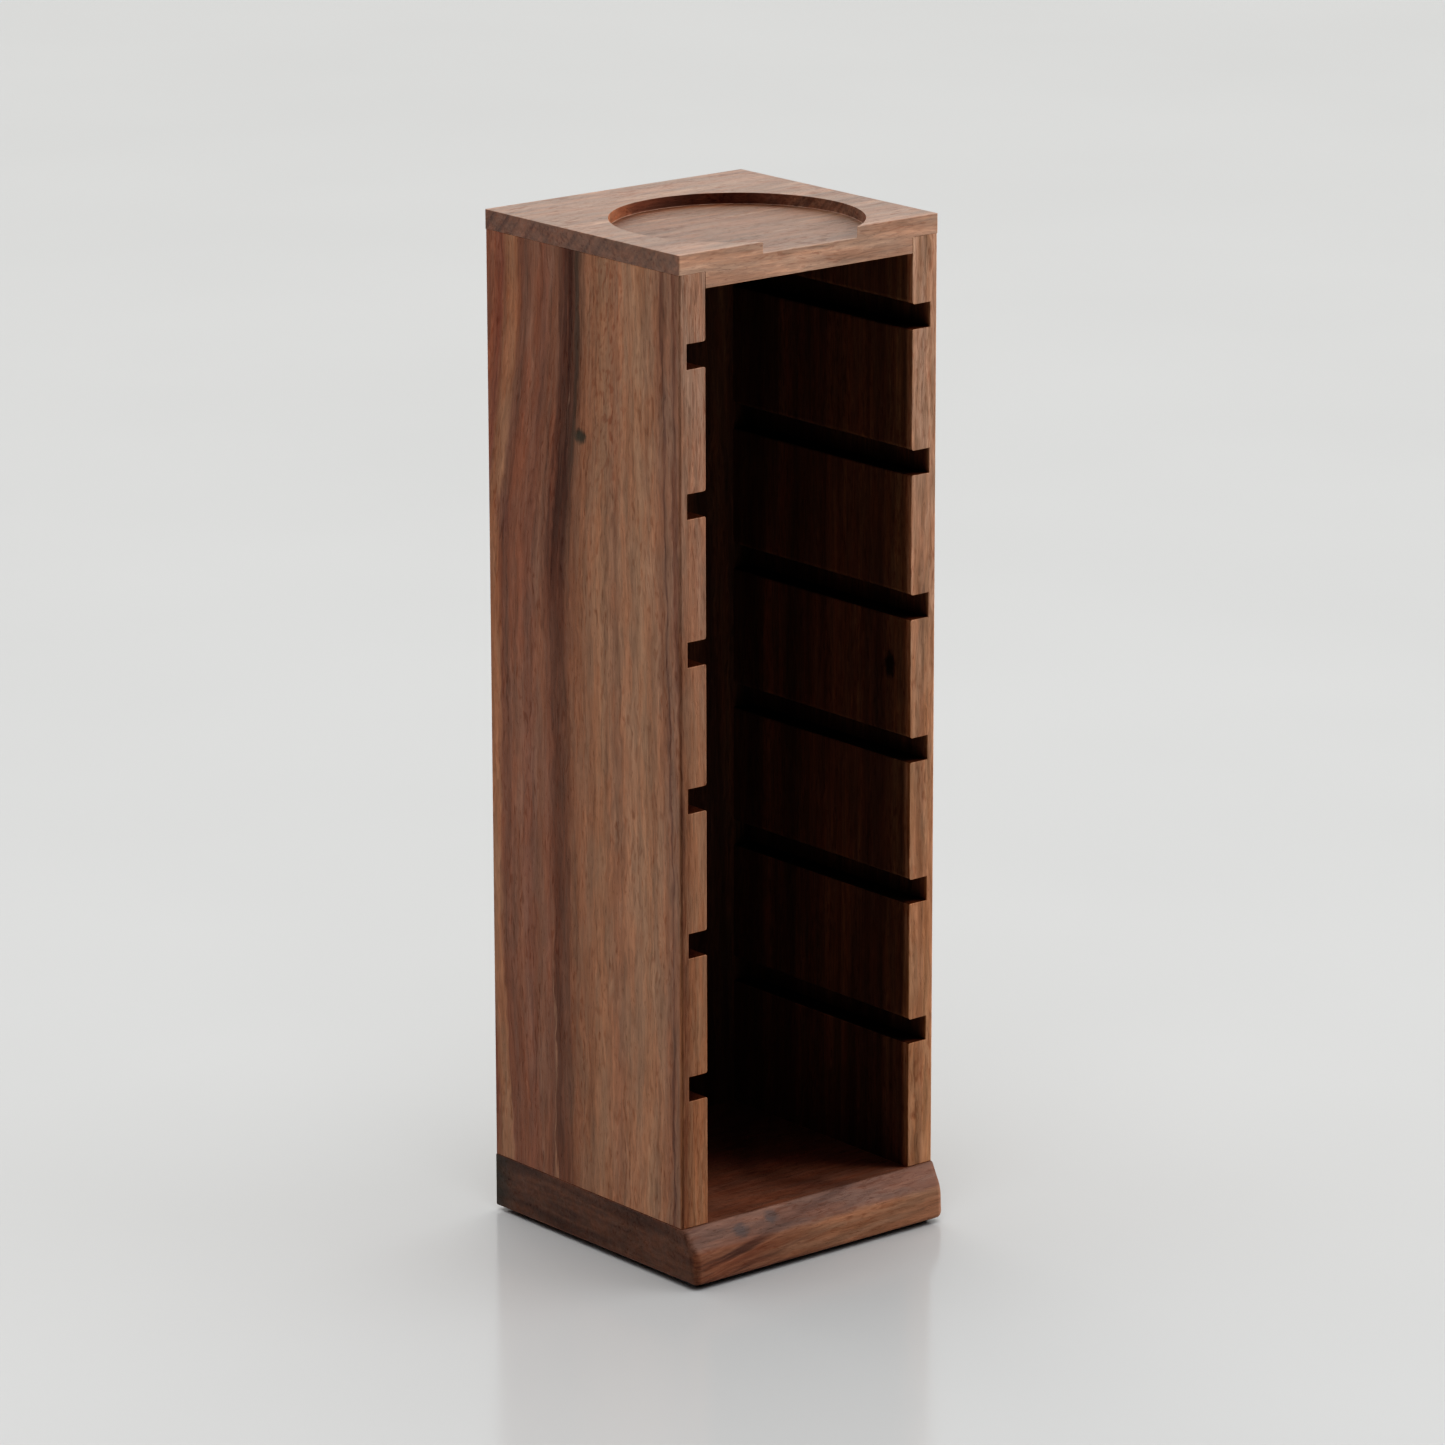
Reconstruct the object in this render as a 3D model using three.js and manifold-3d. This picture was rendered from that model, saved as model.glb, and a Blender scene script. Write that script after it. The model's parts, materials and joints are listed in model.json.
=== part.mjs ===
// Dip pen holder: a small open-fronted walnut tower for a writing desk.
//
// Two side panels carry six facing pairs of grooves, which take slide-in trays or pen rests.
// A rabbeted top board laps over their ends and holds a shallow round seat that runs out
// through its front edge. A base board with a rounded nosing stands on a thin felt pad.
//
// Frame: millimetres, +Z up, the open front faces -Y. The origin is at the centre of the
// bounding box, on the surface that the holder stands on.

import * as THREE from 'three';
import { mergeVertices } from 'three/addons/utils/BufferGeometryUtils.js';
import Module from 'manifold-3d';

// Driving dimensions
const WIDTH = 100;
const SIDE_DEPTH = 92.5;
const HEIGHT = 318;
const BOARD = 10; // thickness of a side panel
const NOSING = 6; // how far the base stands out in front of the side panels

const PAD_THICKNESS = 1.5;
const PAD_INSET = 3;
const PAD_CORNER = 2;

const BASE_THICKNESS = 17;
const BASE_CORNER = 2; // rounding of the base's two upright front corners
const BASE_EDGE = 1; // rounding of the nosing's lower arris
const BEVEL_TOP_FLAT = 0.5;
const BEVEL_DROP = 7; // height of the nosing's sloping upper face
const BEVEL_BLEND = 3; // radius between the sloping face and the upright one

const TOP_THICKNESS = 11;
const TOP_LAP = 6; // thickness left where the top laps over the sides and back

const BACK_THICKNESS = 8;
const BACK_RABBET = 4; // how deep the back panel is let into each side

const GROOVES = 6;
const GROOVE_PITCH = 45;
const GROOVE_HEIGHT = 7.5;
const GROOVE_DEPTH = 7;
const UPPER_LIP = 1.5; // rounding of the wood over a groove, along its mouth
const LOWER_LIP = 0.7; // rounding of the wood under a groove
const LOWEST_GROOVE = 62.5; // height of the lowest groove's centreline

const SEAT_RADIUS = 38.5;
const SEAT_DEPTH = 3.5;
const SEAT_SETBACK = 34; // from the front of the side panels to the seat's centre

const DOWEL_RADIUS = 2.5;
const DOWEL_LENGTH = 24;
const DOWEL_CHAMFER = 0.6;
const DOWEL_CLEARANCE = 0.2; // radial, and at each end
const DOWEL_IN_BASE = 8;
const DOWEL_SETBACKS = [14, 46.25, 78.5]; // from the front of the side panels
const ROUND_STEPS = 24;
const SEAT_STEPS = 96;

// Places worked out from the driving dimensions
const halfWidth = WIDTH / 2;
const innerHalf = halfWidth - BOARD;
const backY = (SIDE_DEPTH + NOSING) / 2;
const frontY = backY - SIDE_DEPTH; // front edges of the side panels
const nosingY = frontY - NOSING;
const backPanelY = backY - BACK_THICKNESS;
const baseTop = PAD_THICKNESS + BASE_THICKNESS;
const lapBottom = HEIGHT - TOP_LAP;
const ceiling = HEIGHT - TOP_THICKNESS;
const dowelX = halfWidth - BOARD / 2;
const OVERRUN = 5; // how far a cutter passes the face it enters by

const wasm = await Module();
wasm.setup();

// Materials
const walnutSide = new THREE.MeshStandardMaterial({ color: 0x7d5a45, roughness: 0.6, metalness: 0 });
const walnutTop = new THREE.MeshStandardMaterial({ color: 0xa8856f, roughness: 0.6, metalness: 0 });
const walnutBase = new THREE.MeshStandardMaterial({ color: 0x5f3f30, roughness: 0.55, metalness: 0 });
const beech = new THREE.MeshStandardMaterial({ color: 0xc8a57c, roughness: 0.8, metalness: 0 });
const felt = new THREE.MeshStandardMaterial({ color: 0x151413, roughness: 0.95, metalness: 0 });

// A closed geometry as a solid that can be joined and cut.
function solidOf(geometry) {
  const bare = geometry.clone();
  bare.deleteAttribute('normal');
  bare.deleteAttribute('uv');
  const merged = mergeVertices(bare, 1e-4);
  return new wasm.Manifold(
    new wasm.Mesh({
      numProp: 3,
      vertProperties: merged.attributes.position.array,
      triVerts: new Uint32Array(merged.index.array),
    }),
  );
}

function geometryOf(solid) {
  const mesh = solid.getMesh();
  return new THREE.BufferGeometry()
    .setAttribute('position', new THREE.BufferAttribute(mesh.vertProperties, 3))
    .setIndex(new THREE.BufferAttribute(mesh.triVerts, 1));
}

// A box between two corners.
function block(low, high) {
  const size = low.map((v, i) => high[i] - v);
  const centre = low.map((v, i) => (v + high[i]) / 2);
  return solidOf(new THREE.BoxGeometry(...size).translate(...centre));
}

function uprightCylinder(radius, x, y, z0, z1, steps) {
  const cylinder = new THREE.CylinderGeometry(radius, radius, z1 - z0, steps);
  return solidOf(cylinder.rotateX(Math.PI / 2).translate(x, y, (z0 + z1) / 2));
}

// A shape drawn in X and Z, extruded along +Y from y0 to y1.
function extrudeAlongY(shape, y0, y1) {
  const prism = new THREE.ExtrudeGeometry(shape, { depth: y1 - y0, bevelEnabled: false, curveSegments: 6 });
  return solidOf(prism.rotateX(Math.PI / 2).translate(0, y1, 0));
}

// A shape drawn in Y and Z, extruded along +X from x0 to x1.
function extrudeAlongX(shape, x0, x1) {
  const prism = new THREE.ExtrudeGeometry(shape, { depth: x1 - x0, bevelEnabled: false, curveSegments: 6 });
  const turn = new THREE.Matrix4().makeBasis(
    new THREE.Vector3(0, 1, 0),
    new THREE.Vector3(0, 0, 1),
    new THREE.Vector3(1, 0, 0),
  );
  return solidOf(prism.applyMatrix4(turn).translate(x0, 0, 0));
}

// A rectangle in plan whose corners on the front side, and on the back side if asked, are round.
function plate(low, high, frontCorner, backCorner) {
  const [x0, y0, z0] = low;
  const [x1, y1, z1] = high;
  const outline = new THREE.Shape();
  outline.moveTo(x0 + frontCorner, y0);
  outline.lineTo(x1 - frontCorner, y0);
  outline.absarc(x1 - frontCorner, y0 + frontCorner, frontCorner, -Math.PI / 2, 0);
  if (backCorner > 0) {
    outline.absarc(x1 - backCorner, y1 - backCorner, backCorner, 0, Math.PI / 2);
    outline.absarc(x0 + backCorner, y1 - backCorner, backCorner, Math.PI / 2, Math.PI);
  } else {
    outline.lineTo(x1, y1);
    outline.lineTo(x0, y1);
  }
  outline.absarc(x0 + frontCorner, y0 + frontCorner, frontCorner, Math.PI, 1.5 * Math.PI);
  const prism = new THREE.ExtrudeGeometry(outline, { depth: z1 - z0, bevelEnabled: false, curveSegments: 5 });
  return solidOf(prism.translate(0, 0, z0));
}

function grooveHeight(index) {
  return LOWEST_GROOVE + GROOVE_PITCH * index;
}

// One groove of a side panel, as the cutter that leaves it, with rounded lips.
// side is -1 for the left panel and 1 for the right one.
function grooveCutter(side, index) {
  const z = grooveHeight(index);
  const half = GROOVE_HEIGHT / 2;
  const top = half + UPPER_LIP;
  const bottom = -half - LOWER_LIP;
  const profile = new THREE.Shape();
  profile.moveTo(GROOVE_DEPTH, -half);
  profile.lineTo(GROOVE_DEPTH, half);
  profile.lineTo(UPPER_LIP, half);
  profile.absarc(UPPER_LIP, top, UPPER_LIP, 1.5 * Math.PI, Math.PI, true);
  profile.lineTo(-OVERRUN, top);
  profile.lineTo(-OVERRUN, bottom);
  profile.lineTo(0, bottom);
  profile.absarc(LOWER_LIP, bottom, LOWER_LIP, Math.PI, Math.PI / 2, true);
  // The extrusion turns X,Y into X,Z. Turning it half round Z serves the left panel.
  const cutter = extrudeAlongY(profile, -SIDE_DEPTH, SIDE_DEPTH);
  const turned = side > 0 ? cutter : cutter.rotate([0, 0, 180]);
  return turned
    .translate([side * innerHalf, 0, z])
    .intersect(block([-WIDTH, frontY - OVERRUN, 0], [WIDTH, backPanelY, HEIGHT]));
}

function dowelHoles(side, z0, z1) {
  const radius = DOWEL_RADIUS + DOWEL_CLEARANCE;
  return DOWEL_SETBACKS.map((setback) =>
    uprightCylinder(radius, side * dowelX, frontY + setback, z0, z1, ROUND_STEPS),
  );
}

function subtractAll(solid, cutters) {
  return cutters.reduce((rest, cutter) => rest.subtract(cutter), solid);
}

function sidePanel(side) {
  const outerX = side * halfWidth;
  const innerX = side * innerHalf;
  const board = block(
    [Math.min(outerX, innerX), frontY, baseTop],
    [Math.max(outerX, innerX), backY, lapBottom],
  );
  const grooves = Array.from({ length: GROOVES }, (_, index) => grooveCutter(side, index));
  const rabbetX = side * (innerHalf + BACK_RABBET);
  const openX = side * (innerHalf - OVERRUN);
  const rabbet = block(
    [Math.min(rabbetX, openX), backPanelY, 0],
    [Math.max(rabbetX, openX), backY + OVERRUN, HEIGHT],
  );
  const holeTop = baseTop - DOWEL_IN_BASE + DOWEL_LENGTH + DOWEL_CLEARANCE;
  const holes = dowelHoles(side, baseTop - OVERRUN, holeTop);
  return subtractAll(board, [...grooves, rabbet, ...holes]);
}

function topBoard() {
  const lap = block([-halfWidth, frontY, lapBottom], [halfWidth, backY, HEIGHT]);
  const plug = block([-innerHalf, frontY, ceiling], [innerHalf, backPanelY, lapBottom + TOP_LAP / 2]);
  const seat = uprightCylinder(
    SEAT_RADIUS, 0, frontY + SEAT_SETBACK, HEIGHT - SEAT_DEPTH, HEIGHT + OVERRUN, SEAT_STEPS,
  );
  return lap.add(plug).subtract(seat);
}

function backPanel() {
  const half = innerHalf + BACK_RABBET;
  return block([-half, backPanelY, baseTop], [half, backY, lapBottom]);
}

// The base board's section in Y and Z: a sloping upper face rounded into an upright front.
function basePlate() {
  const bottom = PAD_THICKNESS;
  const bevelStart = frontY - BEVEL_TOP_FLAT;
  const bevelEnd = baseTop - BEVEL_DROP;
  const section = new THREE.Shape();
  section.moveTo(backY, bottom);
  section.lineTo(backY, baseTop);
  section.lineTo(bevelStart, baseTop);
  const slope = new THREE.Vector2(nosingY - bevelStart, -BEVEL_DROP).normalize().multiplyScalar(BEVEL_BLEND);
  section.lineTo(nosingY - slope.x, bevelEnd - slope.y);
  section.quadraticCurveTo(nosingY, bevelEnd, nosingY, bevelEnd - BEVEL_BLEND);
  section.lineTo(nosingY, bottom + BASE_EDGE);
  section.quadraticCurveTo(nosingY, bottom, nosingY + BASE_EDGE, bottom);
  const board = extrudeAlongX(section, -halfWidth, halfWidth);
  const plan = plate(
    [-halfWidth, nosingY, 0], [halfWidth, backY, HEIGHT], BASE_CORNER, 0,
  );
  const holeBottom = baseTop - DOWEL_IN_BASE - DOWEL_CLEARANCE;
  const holes = [-1, 1].flatMap((side) => dowelHoles(side, holeBottom, baseTop + OVERRUN));
  return subtractAll(board.intersect(plan), holes);
}

function feltPad() {
  return plate(
    [-halfWidth + PAD_INSET, nosingY + PAD_INSET, 0],
    [halfWidth - PAD_INSET, backY - PAD_INSET, PAD_THICKNESS],
    PAD_CORNER, PAD_CORNER,
  );
}

// A wooden dowel pin with chamfered ends, standing on its lower end.
function dowelGeometry() {
  const narrow = DOWEL_RADIUS - DOWEL_CHAMFER;
  const profile = [
    [0, 0], [narrow, 0], [DOWEL_RADIUS, DOWEL_CHAMFER],
    [DOWEL_RADIUS, DOWEL_LENGTH - DOWEL_CHAMFER], [narrow, DOWEL_LENGTH], [0, DOWEL_LENGTH],
  ].map(([x, y]) => new THREE.Vector2(x, y));
  return new THREE.LatheGeometry(profile, ROUND_STEPS).rotateX(Math.PI / 2);
}

function named(name, geometry, material) {
  const mesh = new THREE.Mesh(geometry, material);
  mesh.name = name;
  return mesh;
}

const holder = new THREE.Group();
holder.add(
  named('felt_pad', geometryOf(feltPad()), felt),
  named('base_board', geometryOf(basePlate()), walnutBase),
  named('left_side_panel', geometryOf(sidePanel(-1)), walnutSide),
  named('right_side_panel', geometryOf(sidePanel(1)), walnutSide),
  named('back_panel', geometryOf(backPanel()), walnutSide),
  named('top_board', geometryOf(topBoard()), walnutTop),
);

for (const [label, side] of [['left', -1], ['right', 1]]) {
  DOWEL_SETBACKS.forEach((setback, index) => {
    const dowel = named(`base_dowel_${label}_${index + 1}`, dowelGeometry(), beech);
    dowel.position.set(side * dowelX, frontY + setback, baseTop - DOWEL_IN_BASE);
    holder.add(dowel);
  });
}

export default holder;
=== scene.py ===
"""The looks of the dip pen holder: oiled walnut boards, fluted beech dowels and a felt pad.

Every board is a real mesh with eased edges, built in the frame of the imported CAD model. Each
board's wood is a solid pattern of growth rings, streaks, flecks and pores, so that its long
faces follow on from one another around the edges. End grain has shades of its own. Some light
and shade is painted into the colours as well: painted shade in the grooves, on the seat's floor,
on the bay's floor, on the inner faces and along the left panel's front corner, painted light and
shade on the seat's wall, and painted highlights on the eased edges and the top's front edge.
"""

import functools
import itertools
import json
import math

import bmesh
import bpy
from mathutils import Matrix, Vector, noise

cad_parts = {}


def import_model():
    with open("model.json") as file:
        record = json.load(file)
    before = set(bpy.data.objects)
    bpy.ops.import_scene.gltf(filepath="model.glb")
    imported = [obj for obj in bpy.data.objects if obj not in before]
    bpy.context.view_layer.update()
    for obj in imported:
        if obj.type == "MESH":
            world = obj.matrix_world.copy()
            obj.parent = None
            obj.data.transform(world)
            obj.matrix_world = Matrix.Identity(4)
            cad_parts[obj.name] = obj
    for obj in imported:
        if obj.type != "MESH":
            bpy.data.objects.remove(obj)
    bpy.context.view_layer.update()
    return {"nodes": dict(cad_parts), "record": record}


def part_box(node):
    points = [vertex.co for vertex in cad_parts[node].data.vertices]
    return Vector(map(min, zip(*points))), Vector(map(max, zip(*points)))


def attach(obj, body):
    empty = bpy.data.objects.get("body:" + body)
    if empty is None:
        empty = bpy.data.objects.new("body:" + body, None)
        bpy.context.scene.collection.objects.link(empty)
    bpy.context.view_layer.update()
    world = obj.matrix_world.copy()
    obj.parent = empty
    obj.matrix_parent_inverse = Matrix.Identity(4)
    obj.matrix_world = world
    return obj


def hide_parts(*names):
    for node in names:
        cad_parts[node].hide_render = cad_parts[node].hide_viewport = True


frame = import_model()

MM = 0.001

# Sizes of the looks, in millimetres, and the number of steps around curves
GROOVE_HEIGHT = 7.5
GROOVE_DEPTH = 7.0
GROOVE_UPPER_LIP = 1.6
GROOVE_LOWER_LIP = 0.7
GROOVE_FRONT_EDGE = 0.35
SEAT_RADIUS = 38.5
SEAT_STEPS = 148
SEAT_RIM = 0.5
SEAT_FILLET = 1.1
SEAT_LIP = 0.3
NOTCH_EDGE = 0.7
OUTER_EDGE = 0.9
TOP_CORNER = 1.5
INNER_EDGE = 0.3
JOINT_EDGE = 0.28
NOSE_CORNER = 2.8
NOSE_LOWER_EDGE = 1.5
BASE_END_EDGE = 0.5
NOSE_FLAT = 0.5
NOSE_DROP = 7.0
NOSE_BLEND = 3.0
NOSE_ROUND = 0.35
NOSE_WAVE = 0.72
NOSE_WAVE_LENGTH = 17.0
BASE_CORE = 9.0
DOWEL_RADIUS = 2.5
DOWEL_CLEARANCE = 0.2
BORE_STEPS = 32
CUT_PAST = 5.0
DOWEL_CHAMFER = 0.6
DOWEL_FLUTES = 16
DOWEL_FLUTE_DEPTH = 0.25
PAD_CORNER = 2.0
PAD_EDGE = 0.4
PAD_RAGGED = 0.12

# The light from the studio's walls, as soft round patches: azimuth, elevation, outer and inner
# radius in degrees, and brightness. The first covers everything.
WALL_PATCHES = [
    (0, 90, 180, 179, 0.03),
    (140, 0, 75, 40, 0.45),
    (140, 4, 34, 6, 0.45),
    (150, 80, 60, 25, 0.25),
]

# How bright the camera sees the walls, the softboxes' slightly cool colour, and half the
# floor's width in metres
WALL_SEEN = 0.76
SOFTBOX_TINT = (1.0, 1.02, 1.08)
FLOOR_HALF = 9.0

# How strongly the display darkens shadows, and the light that falls on the tower's sides
TOE = 0.045
SURFACE_LIGHT = 1.1

# How much darker the side panels' end grain is, in red, green and blue: the milled floors and
# ceilings of the grooves, partly darker end grain and partly painted shade
GROOVE_SHADE = (0.20, 0.14, 0.11)

# The camera, which looks at a point on the tower's axis
CAMERA_TARGET = Vector((0.00094, -0.00078, 0.15951))
CAMERA_DISTANCE = 2.0534
CAMERA_AZIMUTH = -39.39
CAMERA_ELEVATION = 15.44
CAMERA_ROLL = -0.12
CAMERA_LENS = 167.3


# ------------------------------ places, from the frame


def mm_box(node):
    """A CAD node's lowest and highest corner, in millimetres."""
    low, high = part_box(node)
    return low / MM, high / MM


def stated_openings():
    """The record's openings by name, as pairs of corners in millimetres."""
    return {
        opening["name"]: [Vector(corner) / MM for corner in opening["box_m"]]
        for opening in frame["record"]["physics"]["openings"]
    }


OPENINGS = stated_openings()
GROOVE_HEIGHTS = sorted(
    (low.z + high.z) / 2 for name, (low, high) in OPENINGS.items() if name.startswith("groove")
)
SIDE_LOW, SIDE_HIGH = mm_box("right_side_panel")
BACK_LOW, BACK_HIGH = mm_box("back_panel")
TOP_LOW, TOP_HIGH = mm_box("top_board")
BASE_LOW, BASE_HIGH = mm_box("base_board")
PAD_LOW, PAD_HIGH = mm_box("felt_pad")
FRONT = SIDE_LOW.y
BACK = SIDE_HIGH.y
PIECES = []
DOWELS = sorted(name for name in frame["nodes"] if name.startswith("base_dowel"))


# ------------------------------ mesh helpers


def object_from(name, bm):
    """A new object holding bm, whose coordinates are millimetres."""
    bmesh.ops.scale(bm, vec=(MM, MM, MM), verts=bm.verts)
    bmesh.ops.recalc_face_normals(bm, faces=bm.faces)
    mesh = bpy.data.meshes.new(name)
    bm.to_mesh(mesh)
    bm.free()
    piece = bpy.data.objects.new(name, mesh)
    bpy.context.scene.collection.objects.link(piece)
    return piece


def apply_modifiers(piece):
    """Writes what the modifiers make into the piece's own mesh."""
    graph = bpy.context.evaluated_depsgraph_get()
    made = bpy.data.meshes.new_from_object(piece.evaluated_get(graph))
    old = piece.data
    piece.modifiers.clear()
    piece.data = made
    made.name = piece.name
    bpy.data.meshes.remove(old)


def cell_solid(xs, ys, zs, filled):
    """The outside of a grid of blocks between the given planes, of those that filled keeps."""
    bm = bmesh.new()
    corners = {}
    counts = (len(xs) - 1, len(ys) - 1, len(zs) - 1)

    def corner(i, j, k):
        if (i, j, k) not in corners:
            corners[i, j, k] = bm.verts.new((xs[i], ys[j], zs[k]))
        return corners[i, j, k]

    def inside(cell):
        within = all(0 <= c < n for c, n in zip(cell, counts))
        return within and filled(*cell)

    def add_face(cell, axis, step):
        """A block's low face across an axis, or its high one where step is 1."""
        first, second = [a for a in range(3) if a != axis]
        loop = []
        for a, b in ((0, 0), (1, 0), (1, 1), (0, 1)):
            at = list(cell)
            at[axis] += step
            at[first] += a
            at[second] += b
            loop.append(corner(*at))
        bm.faces.new(loop)

    for cell in itertools.product(*(range(count) for count in counts)):
        if not inside(cell):
            continue
        for axis, step in itertools.product(range(3), (0, 1)):
            beyond = list(cell)
            beyond[axis] += 1 if step else -1
            if not inside(beyond):
                add_face(cell, axis, step)
    bmesh.ops.dissolve_limit(bm, angle_limit=0.02, verts=bm.verts, edges=bm.edges)
    return bm


def cut_cylinder(piece, radius, centre, z_low, z_high, steps):
    """Takes an upright cylinder out of a piece. All sizes are in millimetres."""
    bm = bmesh.new()
    place = Matrix.Translation((centre.x, centre.y, (z_low + z_high) / 2))
    bmesh.ops.create_cone(
        bm, cap_ends=True, segments=steps, radius1=radius, radius2=radius,
        depth=z_high - z_low, matrix=place,
    )
    cutter = object_from("cutter", bm)
    difference = piece.modifiers.new("cut", "BOOLEAN")
    difference.operation = "DIFFERENCE"
    difference.solver = "EXACT"
    difference.object = cutter
    apply_modifiers(piece)
    spent = cutter.data
    bpy.data.objects.remove(cutter)
    bpy.data.meshes.remove(spent)


def round_edges(piece, radius_of, segments=4):
    """Rounds each edge by radius_of(start, end, convex), in millimetres, and 0 leaves it sharp."""
    bm = bmesh.new()
    bm.from_mesh(piece.data)
    bmesh.ops.dissolve_limit(bm, angle_limit=0.005, verts=bm.verts, edges=bm.edges)
    radii = []
    for edge in bm.edges:
        radius = 0.0
        if edge.is_manifold and edge.calc_face_angle(0.0) > math.radians(25):
            start, end = (vert.co / MM for vert in edge.verts)
            radius = radius_of(start, end, edge.is_convex)
        radii.append(radius)
    widest = max(radii)
    weights = bm.edges.layers.float.new("bevel_weight_edge")
    for edge, radius in zip(bm.edges, radii):
        edge[weights] = radius / widest
    bm.to_mesh(piece.data)
    bm.free()
    bevel = piece.modifiers.new("eased_edges", "BEVEL")
    bevel.limit_method = "WEIGHT"
    bevel.width = widest * MM
    bevel.segments = segments
    bevel.offset_type = "OFFSET"
    bevel.use_clamp_overlap = True
    apply_modifiers(piece)


def smooth(piece, angle=32):
    """Shades the rounded edges smooth and keeps the flat faces flat."""
    mesh = piece.data
    mesh.shade_smooth()
    mesh.set_sharp_from_angle(angle=math.radians(angle))
    normals = piece.modifiers.new("normals", "WEIGHTED_NORMAL")
    normals.keep_sharp = True
    normals.weight = 80


def finish_piece(piece, node, material):
    """Puts a piece on the frame in place of a CAD node."""
    PIECES.append(piece)
    piece.data.materials.clear()
    piece.data.materials.append(material)
    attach(piece, "root")
    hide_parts(node)


def near(a, b, tolerance=0.02):
    """Whether two places agree, in millimetres."""
    return abs(a - b) < tolerance


def toward(azimuth, elevation):
    """The unit way from the tower to an azimuth, 0 in front and 90 at the right, in degrees."""
    a, e = math.radians(azimuth), math.radians(elevation)
    return Vector((math.sin(a) * math.cos(e), -math.cos(a) * math.cos(e), math.sin(e)))


# ------------------------------ material graphs


def toe(light):
    """What the display makes of a linear value: dark values are darkened, and 1 stays 1."""
    return (1 + TOE) * light**2 / (light + TOE)


def before_toe(shown):
    """The linear value that the display shows as the given one."""
    part = shown / (1 + TOE)
    return (part + math.sqrt(part**2 + 4 * TOE * part)) / 2


def seen(red, green, blue):
    """The surface colour that shows as the given 0-255 one in this studio's light."""
    return tuple(before_toe(value) / SURFACE_LIGHT for value in srgb(red, green, blue)[:3]) + (1.0,)


def srgb(red, green, blue):
    """A colour picked in 0-255 display values, as the linear one that shaders use."""
    def linear(value):
        value /= 255
        return value / 12.92 if value <= 0.04045 else ((value + 0.055) / 1.055) ** 2.4

    return (linear(red), linear(green), linear(blue), 1.0)


class Nodes:
    """A node tree, made so that a pattern reads as a formula."""

    def __init__(self, tree):
        self.tree = tree
        self.tree.nodes.clear()

    def new(self, kind):
        return self.tree.nodes.new("ShaderNode" + kind)

    def plug(self, socket, value):
        if isinstance(value, bpy.types.NodeSocket):
            self.tree.links.new(value, socket)
        else:
            socket.default_value = value

    def math(self, operation, a, b=0.0):
        node = self.new("Math")
        node.operation = operation
        self.plug(node.inputs[0], a)
        self.plug(node.inputs[1], b)
        return node.outputs[0]

    def add(self, first, *others):
        return functools.reduce(lambda a, b: self.math("ADD", a, b), others, first)

    def sub(self, a, b):
        return self.math("SUBTRACT", a, b)

    def mul(self, first, *others):
        return functools.reduce(lambda a, b: self.math("MULTIPLY", a, b), others, first)

    def div(self, a, b):
        return self.math("DIVIDE", a, b)

    def distance(self, a, b):
        """How far (a, b) is from (0, 0)."""
        return self.math("SQRT", self.add(self.mul(a, a), self.mul(b, b)))

    def centred(self, value, amount):
        """A 0 to 1 pattern as one that swings amount each way."""
        return self.mul(self.sub(value, 0.5), 2 * amount)

    def step(self, value, low, high, start=0.0, end=1.0):
        """A smooth step from start to end as value goes from low to high."""
        node = self.new("MapRange")
        node.interpolation_type = "SMOOTHSTEP"
        self.plug(node.inputs["Value"], value)
        for name, number in (("From Min", low), ("From Max", high), ("To Min", start), ("To Max", end)):
            self.plug(node.inputs[name], number)
        return node.outputs["Result"]

    def hump(self, value, centre, width):
        """1 at the centre, and falling smoothly to 0 at width to either side."""
        away = self.math("ABSOLUTE", self.sub(value, centre))
        return self.step(away, 0.0, width, 1.0, 0.0)

    def vector(self, x, y, z):
        node = self.new("CombineXYZ")
        for socket, value in zip(node.inputs, (x, y, z)):
            self.plug(socket, value)
        return node.outputs[0]

    def split(self, vector):
        node = self.new("SeparateXYZ")
        self.plug(node.inputs[0], vector)
        return node.outputs[0], node.outputs[1], node.outputs[2]


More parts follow.
